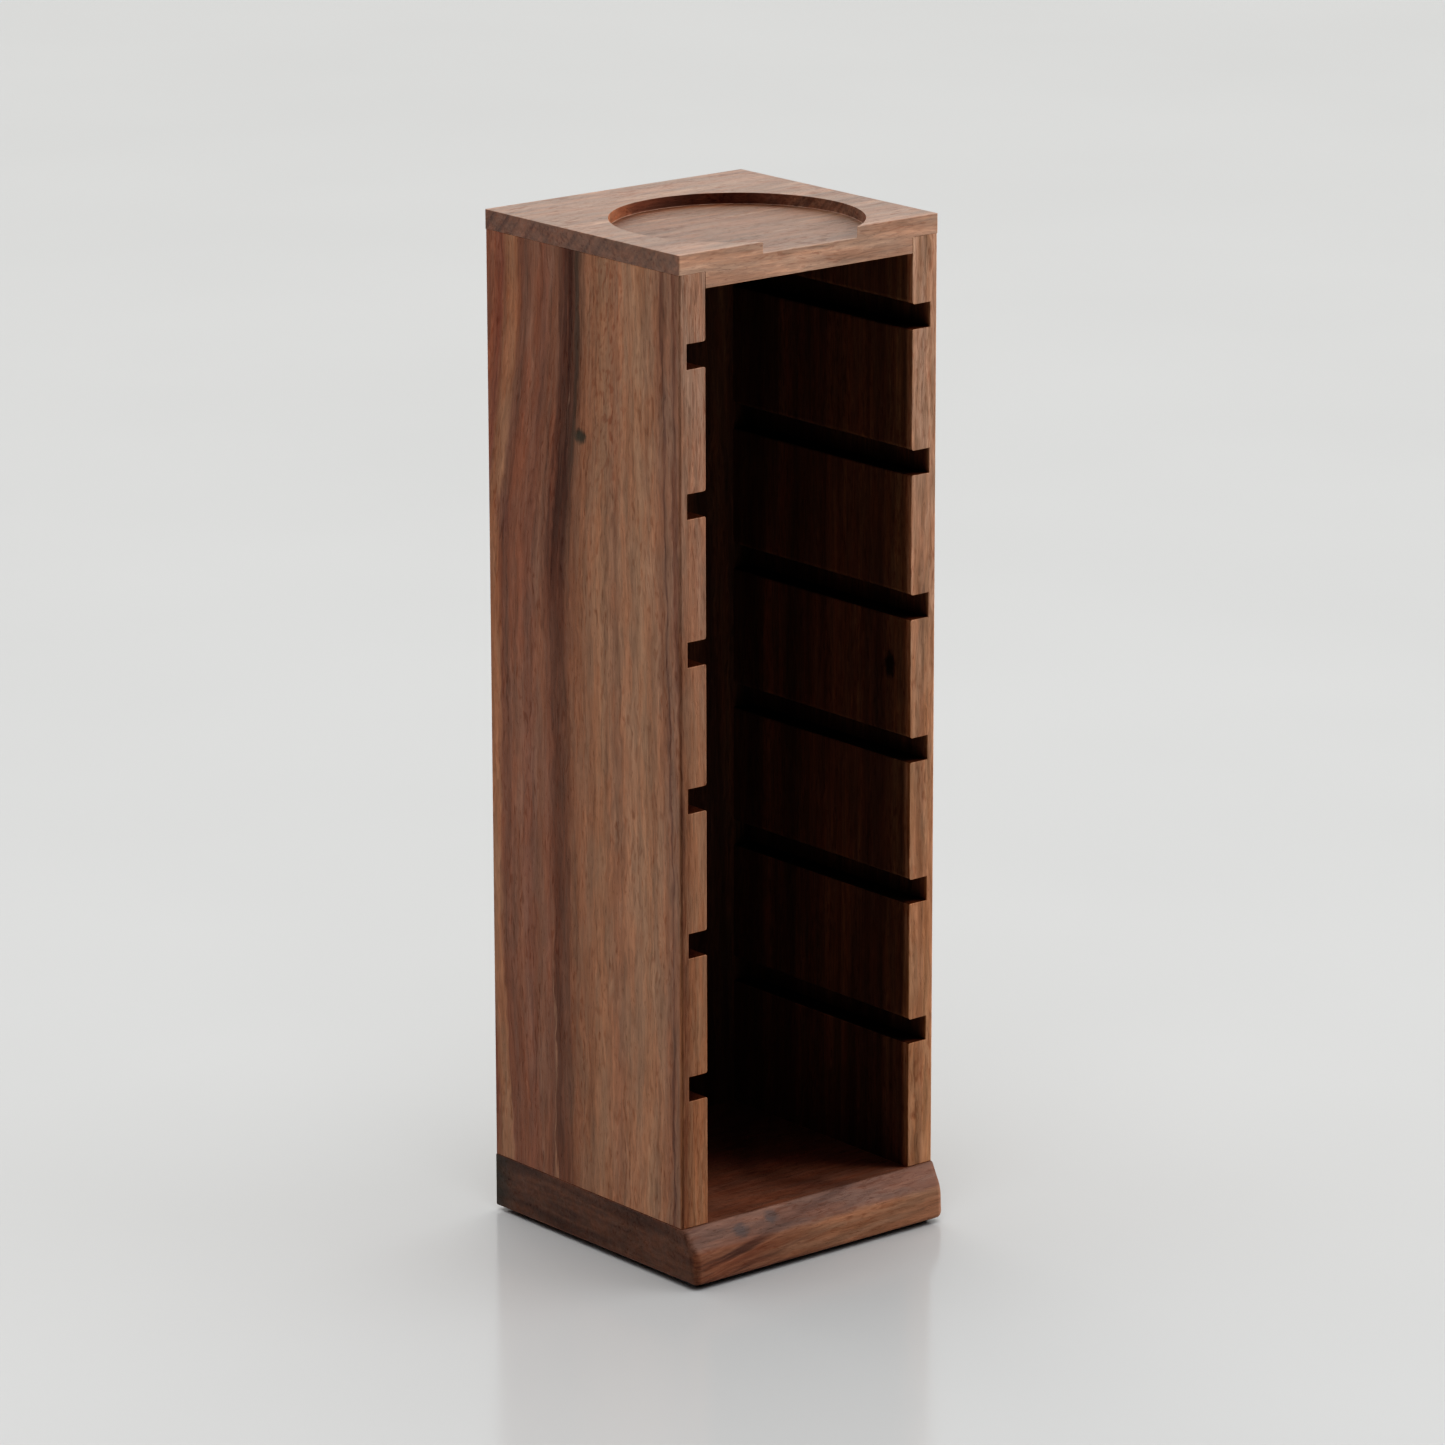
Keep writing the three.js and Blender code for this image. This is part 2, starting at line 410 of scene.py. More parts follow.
class Graph(Nodes):
    """One material's nodes."""

    def __init__(self, name):
        self.material = bpy.data.materials.new(name)
        self.material.use_nodes = True
        super().__init__(self.material.node_tree)
        self.shader = self.new("BsdfPrincipled")
        output = self.new("OutputMaterial")
        self.plug(output.inputs["Surface"], self.shader.outputs["BSDF"])

    def place(self):
        """Where the surface is, in millimetres along X, Y and Z."""
        node = self.new("TexCoord")
        scaled = self.new("VectorMath")
        scaled.operation = "SCALE"
        self.plug(scaled.inputs[0], node.outputs["Object"])
        scaled.inputs["Scale"].default_value = 1 / MM
        return self.split(scaled.outputs[0])

    def facing(self):
        """How far the surface faces along X, Y and Z, each squared."""
        node = self.new("NewGeometry")
        return [self.mul(part, part) for part in self.split(node.outputs["Normal"])]

    def noise(self, vector, detail=1.0, roughness=0.5):
        node = self.new("TexNoise")
        self.plug(node.inputs["Vector"], vector)
        node.inputs["Scale"].default_value = 1.0
        node.inputs["Detail"].default_value = detail
        node.inputs["Roughness"].default_value = roughness
        return node.outputs["Fac"]

    def even_noise(self, scale, detail, roughness=0.5):
        """Noise without a grain, finer where scale is larger."""
        spot = self.vector(*(self.mul(part, scale) for part in self.place()))
        return self.noise(spot, detail, roughness)

    def ramp(self, value, stops):
        """Colours at places along value, as (place, seen colour) from the lowest place up."""
        low, high = stops[0][0], stops[-1][0]
        node = self.new("ValToRGB")
        self.plug(node.inputs[0], self.div(self.sub(value, low), high - low))
        elements = node.color_ramp.elements
        elements[0].color = seen(*stops[0][1])
        elements[1].color = seen(*stops[-1][1])
        for place, colour in stops[1:-1]:
            elements.new((place - low) / (high - low)).color = seen(*colour)
        return node.outputs[0]

    def shades(self, value, stops):
        """Factors for red, green and blue at places along value, as (place, factors)."""
        parts = []
        for channel in range(3):
            part = stops[0][1][channel]
            for (low, before), (high, after) in zip(stops, stops[1:]):
                change = after[channel] - before[channel]
                part = self.add(part, self.step(value, low, high, 0.0, change))
            parts.append(part)
        return self.vector(*parts)

    def blend(self, amount, a, b, mode="MIX"):
        node = self.new("Mix")
        node.data_type = "RGBA"
        node.blend_type = mode
        self.plug(node.inputs["Factor"], amount)
        self.plug(node.inputs["A"], a)
        self.plug(node.inputs["B"], b)
        return node.outputs["Result"]

    def tint(self, amount, colour, factors):
        """Multiplies a colour by factors for red, green and blue, as far as amount says."""
        if isinstance(factors, tuple):
            factors = (*factors, 1.0)
        return self.blend(amount, colour, factors, "MULTIPLY")

    def scaled(self, colour, factor):
        node = self.new("VectorMath")
        node.operation = "SCALE"
        self.plug(node.inputs[0], colour)
        self.plug(node.inputs["Scale"], factor)
        return node.outputs[0]

    def bump(self, height_mm):
        node = self.new("Bump")
        node.inputs["Strength"].default_value = 1.0
        node.inputs["Distance"].default_value = MM
        self.plug(node.inputs["Height"], height_mm)
        self.plug(self.shader.inputs["Normal"], node.outputs["Normal"])

    def surface(self, colour, roughness, specular):
        self.plug(self.shader.inputs["Base Color"], colour)
        self.plug(self.shader.inputs["Roughness"], roughness)
        self.shader.inputs["Specular IOR Level"].default_value = specular


class Wood(Graph):
    """A board's wood: u runs across the board, v through it and w along its grain, in mm."""

    def __init__(self, name, across, through, along, seed, bend, pith, ring, tilt=(0.0, 0.0), flow=None):
        super().__init__(name)
        self.seed = seed
        axes = dict(zip("XYZ", self.place()))
        faces = dict(zip("XYZ", self.facing()))
        self.u, self.v, self.w = axes[across], axes[through], axes[along]
        self.end_grain = self.step(faces[along], 0.35, 0.95)
        products = [self.mul(faces[a], faces[b]) for a, b in ("XY", "YZ", "ZX")]
        self.edge = self.step(self.add(*products), 0.02, 0.2)
        shift = self.add(
            self.centred(self.streaks(34, 230), bend),
            self.centred(self.streaks(6, 40, 1.5), bend * 0.3),
            self.centred(self.streaks(2.6, 9, 1.5), 1.2),
        )
        self.va = self.add(self.v, self.mul(shift, 0.5))
        if flow:
            shift = self.add(shift, flow(self))
        self.ua = self.add(self.u, shift)
        off_u = self.sub(self.ua, self.add(self.mul(self.w, tilt[0]), pith[0]))
        off_v = self.sub(self.va, self.add(self.mul(self.w, tilt[1]), pith[1]))
        self.radius = self.distance(off_u, off_v)
        phase = self.div(self.radius, ring)
        uneven = self.noise(self.vector(self.div(phase, 3.0), seed, 0.0))
        self.phase = self.math("FRACT", self.add(phase, self.mul(uneven, 1.6)))
        late = self.step(self.phase, 0.25, 0.93)
        self.late = self.mul(late, self.step(self.phase, 0.93, 1.0, 1.0, 0.0))

    def streaks(self, width, length, detail=1.0, bent=False, shuffle=0.0):
        """Noise drawn out along the grain."""
        u, v = (self.ua, self.va) if bent else (self.u, self.v)
        spot = self.vector(
            self.add(self.div(u, width), self.seed + shuffle),
            self.div(v, width),
            self.div(self.w, length),
        )
        return self.noise(spot, detail)

    def marks(self, width, length, share, shuffle=0.0):
        """Small spindle-shaped marks along the grain."""
        grain = self.streaks(width, length, bent=True, shuffle=shuffle)
        return self.step(grain, share, share + 0.16)

    def zones(self, size):
        """Broad colour bands that follow the growth rings."""
        spot = self.vector(self.div(self.radius, size), self.div(self.w, 420), self.seed)
        return self.noise(spot, 2.0, 0.55)

    def knot(self, colour, across, along, radii, tint, strength=1.0):
        """Lays a small oval mark with a ragged rim over a colour, at (across, along)."""
        du = self.div(self.sub(*across), radii[0])
        dw = self.div(self.sub(self.w, along), radii[1])
        ragged = self.add(self.distance(du, dw), self.centred(self.streaks(1.0, 2.0, 2.0), 0.45))
        return self.blend(self.step(ragged, 0.45, 1.2, strength, 0.0), colour, seen(*tint))

    def finish(self, colour, rings=0.3, contrast=1.0, dark=(58, 38, 30), end_shade=(0.32, 0.24, 0.20),
               specular=0.2, rough=0.47):
        """Adds the fine structure to a board's broad colour, and sets the shader."""
        fine = self.streaks(0.5, 8, 2.0, bent=True)
        medium = self.streaks(1.5, 26, 2.0, bent=True)
        broad = self.streaks(5.0, 90, 1.0, bent=True)
        clump = self.step(self.streaks(8, 30, 1.0, bent=True, shuffle=4.0), 0.36, 0.62, 0.2, 1.0)
        fleck = self.mul(self.marks(1.0, 4.5, 0.53), clump)
        glint = self.mul(self.marks(1.2, 7.0, 0.54, shuffle=9.0), clump)
        pore = self.marks(0.28, 2.0, 0.6, shuffle=15.0)
        value = self.add(
            1.0,
            self.centred(fine, 0.42 * contrast),
            self.centred(medium, 0.42 * contrast),
            self.centred(broad, 0.28 * contrast),
            self.mul(glint, 0.16 * contrast),
        )
        colour = self.blend(self.mul(self.late, rings), colour, seen(*dark))
        warm = self.step(self.streaks(3.2, 24, 2.0, bent=True, shuffle=21.0), 0.35, 0.65)
        colour = self.tint(warm, colour, (1.06, 0.93, 0.86))
        colour = self.scaled(colour, value)
        colour = self.tint(self.mul(fleck, 0.6 * contrast), colour, (0.68, 0.54, 0.50))
        colour = self.tint(self.mul(pore, 0.5 * contrast), colour, (0.60, 0.52, 0.50))
        # End grain is darker by end_shade; in the side panels' grooves this is partly painted shade.
        colour = self.tint(self.end_grain, colour, end_shade)
        # Eased edges: a painted highlight makes them lighter, and wear makes them smoother.
        wear_and_highlight = self.mul(self.edge, self.step(self.streaks(3, 14, 2.0), 0.3, 0.7, 0.35, 1.0))
        colour = self.scaled(colour, self.add(1.0, self.mul(wear_and_highlight, 0.18)))
        gloss = self.add(
            rough,
            self.centred(fine, 0.12),
            self.mul(fleck, 0.12),
            self.mul(pore, 0.12),
            self.mul(self.end_grain, 0.08),
            self.mul(wear_and_highlight, -0.07),
        )
        self.surface(colour, gloss, specular)
        self.bump(self.add(
            self.mul(pore, -0.05),
            self.mul(fleck, -0.03),
            self.centred(fine, 0.03),
            self.mul(self.late, 0.012),
        ))
        return self.material


# ------------------------------ the woods


def left_panel_flow(wood):
    """How far the left panel's grain leans towards the back, in mm, as it goes up the board."""
    from_back = wood.sub(BACK, wood.u)
    crown = wood.mul(wood.step(wood.w, 205, 300), wood.step(from_back, 25, 75, 11.0, 0.0))
    root = wood.mul(wood.step(wood.w, 30, 100, 4.0, 0.0), wood.step(from_back, 8, 26, 1.0, 0.0))
    nose = wood.mul(wood.step(wood.w, 90, 300, 4.5, 0.0), wood.step(from_back, 50, 84))
    layers = wood.sub(-SIDE_HIGH.x, wood.v)
    return wood.add(crown, root, nose, layers)


def left_panel_wood():
    """Rift-sawn board: brown at the back with one nearly black streak, and tan in front."""
    wood = Wood("walnut_left_side", "Y", "X", "Z", seed=3.1, bend=1.6, pith=(70, 60), ring=4.6,
                flow=left_panel_flow)
    ragged = wood.add(
        wood.centred(wood.streaks(0.8, 18, 2.0, bent=True), 1.3),
        wood.centred(wood.streaks(3.0, 50, 2.0, bent=True), 2.2),
    )
    layer = wood.add(wood.sub(BACK, wood.ua), ragged)
    colour = wood.ramp(layer, [
        (-16, (126, 84, 60)), (-11, (112, 68, 48)), (-7, (122, 76, 54)), (-3, (102, 58, 42)),
        (-0.5, (128, 88, 62)), (4, (136, 94, 66)), (6, (112, 71, 52)), (9, (102, 65, 48)),
        (14, (116, 76, 56)), (19, (108, 69, 52)), (24, (120, 81, 60)), (29, (106, 67, 49)),
        (32, (90, 54, 38)), (37, (94, 58, 40)), (40, (113, 75, 53)), (47, (126, 87, 62)),
        (55, (136, 97, 70)), (60, (128, 89, 65)), (64, (138, 99, 73)), (73, (141, 103, 76)),
        # The dark band at 84.4, near where the outer face turns onto the front, is painted shade.
        (79, (134, 96, 71)), (83.4, (124, 86, 64)), (84.4, (90, 58, 44)), (85.4, (116, 82, 62)),
        (88, (120, 86, 66)), (89, (92, 58, 43)), (91, (122, 86, 66)), (95, (142, 104, 81)),
        (100, (138, 100, 78)), (110, (120, 84, 64)),
    ])
    colour = dark_streak(wood, colour, layer)
    colour = redder_back(wood, colour, layer)
    colour = pale_lines(wood, colour, layer)
    colour = curly_figure(wood, colour, layer)
    colour = left_panel_knots(wood, colour)
    colour = front_tint(wood, colour, wood.sub(wood.u, FRONT))
    return wood.finish(colour, rings=0.16, contrast=0.9, end_shade=GROOVE_SHADE)


def dark_streak(wood, colour, layer):
    """Lays in the nearly black streak, which is strongest near the top and patchy below."""
    crown = wood.step(wood.w, 165, 245)
    stripes = wood.step(wood.streaks(2.4, 70, 2.0, bent=True, shuffle=52.0), 0.38, 0.56, 0.45, 1.0)
    shade = wood.mul(wood.hump(layer, 33, 13), crown, stripes)
    colour = wood.tint(shade, colour, (0.42, 0.39, 0.41))
    core = wood.mul(wood.hump(layer, 38, 2.6), wood.step(wood.w, 215, 265))
    colour = wood.blend(wood.mul(core, 0.75), colour, seen(52, 40, 29))
    lower = wood.mul(wood.hump(layer, 34, 7), wood.step(wood.w, 90, 180, 0.45, 0.25))
    patchy = wood.step(wood.streaks(5, 26, 2.0, bent=True, shuffle=44.0), 0.42, 0.6)
    return wood.tint(wood.mul(lower, patchy), colour, (0.68, 0.60, 0.56))


def redder_back(wood, colour, layer):
    """Reddens patches of the back half, more towards the top."""
    patches = wood.step(wood.streaks(7, 60, 2.0, bent=True), 0.42, 0.58)
    amount = wood.mul(wood.step(layer, 8, 42, 1.0, 0.0), patches, wood.step(wood.w, 120, 240, 0.25, 0.6))
    return wood.tint(amount, colour, (0.86, 0.70, 0.64))


def pale_lines(wood, colour, layer):
    """Draws one thin pale line beside the streak and one low down."""
    high = wood.mul(wood.hump(layer, 33.8, 0.5), wood.hump(wood.w, 270, 24))
    colour = wood.blend(wood.mul(high, 0.6), colour, seen(124, 92, 72))
    low = wood.mul(wood.hump(layer, 30.6, 0.6), wood.step(wood.w, 60, 120, 1.0, 0.0))
    return wood.blend(wood.mul(low, 0.7), colour, seen(140, 100, 74))


def curly_figure(wood, colour, layer):
    """Adds the short curling marks in the tan wood near the top."""
    curl_u = wood.add(wood.div(wood.ua, 1.7), wood.mul(wood.w, 0.14))
    curl = wood.noise(wood.vector(curl_u, wood.div(wood.w, 3.4), wood.div(wood.v, 2.0)), 1.0)
    curl = wood.mul(wood.step(curl, 0.5, 0.66), wood.hump(layer, 56, 18), wood.step(wood.w, 215, 265))
    return wood.tint(wood.mul(curl, 0.75), colour, (0.74, 0.56, 0.52))


def left_panel_knots(wood, colour):
    """Lays in two faint knots and a small dark one beside the streak."""
    from_back = wood.sub(BACK, wood.u)
    colour = wood.knot(colour, (from_back, 7), 226, (4.0, 8.0), (88, 50, 40), 0.5)
    colour = wood.knot(colour, (from_back, 34), 143, (2.2, 4.0), (78, 50, 36), 0.6)
    return wood.knot(colour, (from_back, 45.6), 256, (3.2, 2.6), (44, 38, 28))


def front_tint(wood, colour, depth):
    """Makes a side panel's front edge pinkish towards the top and browner towards the base."""
    factors = wood.shades(wood.w, [
        (40, (1.02, 0.90, 0.74)), (150, (0.94, 0.88, 0.78)), (230, (1.10, 1.10, 1.08)),
        (300, (1.16, 1.24, 1.28)),
    ])
    return wood.tint(wood.step(depth, 0.4, 1.4, 1.0, 0.0), colour, factors)


def right_panel_wood():
    """A board with a pale front face and arris, and a dark inner face that is partly painted shade."""
    wood = Wood("walnut_right_side", "X", "Y", "Z", seed=11.7, bend=2.0, pith=(-30, 75), ring=5.2)
    # The inner face is kept dark, partly as painted shade inside the bay.
    inside = wood.ramp(wood.zones(16), [
        (0.28, (66, 45, 32)), (0.42, (87, 63, 45)), (0.52, (106, 79, 57)),
        (0.62, (97, 71, 51)), (0.75, (74, 53, 39)),
    ])
    edge = wood.ramp(wood.streaks(3, 30, 2.0), [
        (0.28, (136, 98, 72)), (0.45, (150, 111, 85)), (0.55, (164, 123, 97)),
        (0.7, (144, 105, 79)),
    ])
    from_front = wood.add(wood.sub(wood.v, FRONT), wood.centred(wood.streaks(5, 40, 2.0), 1.2))
    colour = wood.blend(wood.step(from_front, 0.6, 4.0), edge, inside)
    colour = wood.knot(colour, (wood.v, FRONT + 9.5), 178, (2.6, 5.0), (36, 24, 18))
    colour = front_tint(wood, colour, wood.sub(wood.v, FRONT))
    return wood.finish(colour, end_shade=GROOVE_SHADE)


def back_panel_wood():
    """An even brown board, kept dark partly as painted shade inside the bay."""
    wood = Wood("walnut_back", "X", "Y", "Z", seed=23.4, bend=6.0, pith=(8, 64), tilt=(0.0, 0.05),
                ring=5.6)
    colour = wood.ramp(wood.zones(14), [
        (0.25, (62, 43, 31)), (0.40, (82, 59, 43)), (0.52, (104, 78, 56)),
        (0.64, (95, 70, 50)), (0.78, (72, 50, 37)),
    ])
    return wood.finish(colour)


def top_wood():
    """A paler board: painted light and shade on its seat's wall, and a little painted shade on its
    floor.
    """
    wood = Wood("walnut_top", "Y", "Z", "X", seed=37.9, bend=4.0, pith=(52, 262), ring=4.8)
    colour = wood.ramp(wood.zones(15), [
        (0.25, (106, 78, 62)), (0.42, (130, 100, 79)), (0.55, (140, 108, 86)),
        (0.68, (124, 94, 75)), (0.80, (102, 74, 58)),
    ])
    # Painted highlight: the top's front face and the top just behind its front edge are lighter.
    front = wood.hump(wood.u, FRONT, 3.0)
    colour = wood.tint(front, colour, (1.46, 1.42, 1.38))
    reach = wood.distance(wood.w, wood.sub(wood.u, seat_centre().y))
    wall = seat_wall(wood, reach)
    colour = seat_wall_light_and_shade(wood, colour, wall)
    colour = seat_floor_shade(wood, colour, reach)
    colour = wood.blend(wood.end_grain, colour, top_ends(wood))
    streak = wood.streaks(3.2, 30, 2.0, bent=True, shuffle=31.0)
    colour = wood.scaled(colour, wood.add(1.0, wood.centred(streak, 0.35)))
    rough = wood.add(0.42, wood.mul(wood.math("MINIMUM", wall, 1.0), 0.45))
    return wood.finish(colour, rings=0.2, dark=(84, 56, 42), end_shade=(0.9, 0.88, 0.86),
                       specular=0.65, rough=rough)


def seat_wall(wood, reach):
    """1 on the seat's upright wall, away from the top's front, where reach is from its axis."""
    seat_floor = frame_mount("seat_floor").z
    return wood.mul(
        wood.hump(reach, SEAT_RADIUS, 2.0),
        wood.step(wood.facing()[2], 0.1, 0.6, 1.0, 0.0),
        wood.step(wood.v, seat_floor - 0.3, seat_floor + 0.3),
        wood.step(wood.u, FRONT + 2, FRONT + 12),
    )


def seat_wall_light_and_shade(wood, colour, wall):
    """Paints light and shade on the seat's wall: tan where lit at the left, nearly black shade in the
    middle.
    """
    wall_light_and_shade = wood.ramp(wood.w, [
        (-36, (184, 120, 72)), (-24, (138, 80, 48)), (-8, (84, 38, 22)), (8, (58, 24, 14)),
        (24, (74, 32, 18)), (38, (96, 46, 28)),
    ])
    return wood.blend(wood.math("MINIMUM", wood.mul(wall, 1.6), 0.95), colour, wall_light_and_shade)


def seat_floor_shade(wood, colour, reach):
    """Paints shade on the seat's floor: a little all over, and more in the corner at the back."""
    seat_floor = frame_mount("seat_floor").z
    bottom = wood.mul(
        wood.step(wood.facing()[2], 0.6, 0.9),
        wood.step(reach, SEAT_RADIUS - 0.4, SEAT_RADIUS, 1.0, 0.0),
        wood.step(wood.v, seat_floor + 0.6, seat_floor + 1.4, 1.0, 0.0),
    )
    colour = wood.tint(bottom, colour, (0.82, 0.77, 0.73))
    middle = seat_centre().y
    behind = wood.step(wood.sub(wood.u, wood.mul(wood.w, 0.3)), middle - 12, middle + 12)
    corner = wood.mul(wood.step(reach, SEAT_RADIUS - 7, SEAT_RADIUS - 0.5), bottom, behind)
    return wood.tint(corner, colour, (0.62, 0.44, 0.34))


def top_ends(wood):
    """The top's end grain: slanted bands, plainer towards the front."""
    across = wood.div(wood.add(wood.u, wood.mul(wood.v, 0.9)), 4.0)
    slanted = wood.vector(across, wood.div(wood.w, 30), 5.2)
    ends = wood.ramp(wood.noise(slanted, 2.0, 0.6), [
        (0.32, (64, 39, 30)), (0.44, (90, 58, 44)), (0.54, (107, 71, 53)), (0.68, (82, 53, 41)),
    ])
    forward = wood.step(wood.u, FRONT, BACK - 15, 1.0, 0.0)
    return wood.blend(wood.mul(forward, 0.5), ends, seen(108, 80, 62))


def base_wood():
    """Flat-sawn board: striped nosing, plainer bevel and inside, painted shade on the bay's floor, and
    dark ends.
    """
    wood = Wood("walnut_base", "Y", "Z", "X", seed=51.2, bend=4.0, pith=(-20, -170),
                tilt=(0.02, 0.16), ring=7.0)
    lower = nosing_stripes(wood)
    upper = wood.ramp(wood.zones(5), [
        (0.3, (77, 52, 42)), (0.45, (95, 66, 53)), (0.6, (108, 76, 61)), (0.75, (89, 61, 49)),
    ])
    nosing = BASE_HIGH.z - NOSE_DROP
    height = wood.add(wood.v, wood.centred(wood.streaks(2, 12, 2.0), 1.0))
    colour = wood.blend(wood.step(height, nosing - 0.6, nosing + 1.2), lower, upper)
    for along, across, size in ((-30, -46.6, 3.6), (-17, -45.6, 3.0)):
        colour = wood.knot(colour, (wood.u, across), along, (1.6, size), (62, 54, 52), 0.75)
    # Painted shade: the base's top behind the front, which is the bay's floor, is darker and redder.
    behind = wood.step(wood.u, FRONT - 0.4, FRONT + 0.4)
    within = wood.mul(behind, wood.step(wood.v, BASE_HIGH.z - 1, BASE_HIGH.z))
    colour = wood.tint(within, colour, (0.88, 0.74, 0.66))
    colour = wood.blend(wood.end_grain, colour, base_ends(wood))
    return wood.finish(colour, rings=0.1, contrast=0.75, dark=(44, 30, 26), end_shade=(1.0, 1.0, 1.0))


def nosing_stripes(wood):
    """Flame-like stripes across the left of the base's front, fading into plain wood."""
    left = wood.add(wood.w, wood.centred(wood.streaks(6, 30, 2.0), 24))
    striped = wood.step(left, -32, 12, 1.0, 0.0)
    slanted = wood.vector(wood.div(wood.radius, 2.6), wood.div(wood.w, 46), wood.div(wood.u, 60))
    stripes = wood.ramp(wood.noise(slanted, 2.0, 0.6), [
        (0.34, (64, 36, 26)), (0.44, (92, 56, 40)), (0.54, (116, 74, 52)), (0.66, (98, 58, 40)),
    ])
    plain = wood.ramp(wood.zones(7), [
        (0.3, (108, 72, 50)), (0.45, (126, 87, 62)), (0.6, (137, 97, 71)), (0.75, (118, 81, 58)),
    ])
    return wood.blend(striped, plain, stripes)


def base_ends(wood):
    """The base's banded end grain, darkest at the back."""
    bands = wood.noise(wood.vector(wood.div(wood.v, 4.0), wood.div(wood.u, 40), 0.7), 2.0)
    ends = wood.ramp(bands, [
        (0.32, (50, 33, 26)), (0.46, (66, 43, 33)), (0.6, (78, 52, 39)), (0.72, (59, 39, 31)),
    ])
    return wood.blend(wood.step(wood.u, BACK - 12, BACK), ends, seen(44, 38, 32))


def beech_wood():
    """Pale dowel rod with the short dark flecks of beech."""
    wood = Wood("beech_dowel", "X", "Y", "Z", seed=5.5, bend=0.4, pith=(30, 40), ring=2.4)
    colour = wood.ramp(wood.streaks(1.2, 12, 2.0), [
        (0.3, (186, 148, 106)), (0.5, (204, 168, 124)), (0.7, (214, 180, 138)),
    ])
    fleck = wood.marks(0.4, 1.5, 0.56)
    colour = wood.blend(wood.mul(fleck, 0.5), colour, seen(150, 104, 66))
    colour = wood.tint(wood.end_grain, colour, (0.8, 0.76, 0.7))
    wood.surface(colour, wood.add(0.68, wood.mul(fleck, 0.1)), 0.4)
    wood.bump(wood.mul(fleck, -0.02))
    return wood.material


def black_felt():
    """Matted black felt, from fine fuzz and larger clumps."""
    felt = Graph("black_felt")
    fuzz = felt.even_noise(2.6, 4.0, 0.7)
    clumps = felt.even_noise(0.35, 2.0)
    colour = felt.ramp(felt.add(felt.mul(fuzz, 0.7), felt.mul(clumps, 0.3)), [
        (0.3, (14, 13, 13)), (0.55, (26, 25, 24)), (0.8, (44, 42, 40)),
    ])
    felt.surface(colour, felt.add(0.86, felt.centred(fuzz, 0.08)), 0.2)
    felt.shader.inputs["Sheen Weight"].default_value = 0.25
    felt.shader.inputs["Sheen Roughness"].default_value = 0.5
    felt.bump(felt.centred(fuzz, 0.12))
    return felt.material


# ------------------------------ the boards


def side_panel(side):
    """One grooved side: side is -1 for the left panel and 1 for the right one."""
    inner = SIDE_LOW.x
    rabbet = BACK_HIGH.x
    groove = inner + GROOVE_DEPTH
    outer = SIDE_HIGH.x
    levels = [SIDE_LOW.z]
    for height in GROOVE_HEIGHTS:
        levels += [height - GROOVE_HEIGHT / 2, height + GROOVE_HEIGHT / 2]
    levels.append(SIDE_HIGH.z)

    def filled(i, j, k):
        if j == 1:
            return i > 0
        return i == 2 or k % 2 == 0

    xs = [side * x for x in (inner, rabbet, groove, outer)]
    bm = cell_solid(xs, [FRONT, BACK_LOW.y, BACK], levels, filled)
    piece = object_from("left_side" if side < 0 else "right_side", bm)
    for centre in dowel_centres():
        if centre.x * side > 0:
            cut_cylinder(piece, DOWEL_RADIUS + DOWEL_CLEARANCE, centre, SIDE_LOW.z - CUT_PAST,
                         mm_box(DOWELS[0])[1].z + DOWEL_CLEARANCE, BORE_STEPS)

    def radius(start, end, convex):
        x, y, z = (start + end) / 2
        x = abs(x)
        along_y = not near(start.y, end.y)
        upright = not near(start.z, end.z)
        if not convex:
            return 0.0
        if near(x, inner) and along_y and z < levels[-1] - 1 and z > levels[0] + 1:
            opens_above = any(near(z, h + GROOVE_HEIGHT / 2) for h in GROOVE_HEIGHTS)
            return GROOVE_UPPER_LIP if opens_above else GROOVE_LOWER_LIP
        if upright and near(x, outer):
            return OUTER_EDGE
        if upright and near(x, inner) and near(y, FRONT):
            return INNER_EDGE
        if near(y, FRONT) and levels[0] + 1 < z < levels[-1] - 1:
            return GROOVE_FRONT_EDGE
        if near(x, outer) or near(y, FRONT) or near(y, BACK):
            return JOINT_EDGE
        return 0.0

    round_edges(piece, radius)
    smooth(piece)
    return piece


def dowel_centres():
    """The dowels' axes, in millimetres."""
    boxes = [mm_box(name) for name in DOWELS]
    return [(low + high) / 2 for low, high in boxes]


def back_board():
    """The flat back, with hardly broken edges where it meets the other boards."""
    bm = cell_solid(
        [BACK_LOW.x, BACK_HIGH.x], [BACK_LOW.y, BACK_HIGH.y], [BACK_LOW.z, BACK_HIGH.z],
        lambda i, j, k: True,
    )
    piece = object_from("back_board", bm)

    def radius(start, end, convex):
        on_back = near(start.y, BACK_HIGH.y) and near(end.y, BACK_HIGH.y)
        return JOINT_EDGE if on_back else JOINT_EDGE / 4

    round_edges(piece, radius, 3)
    smooth(piece)
    return piece


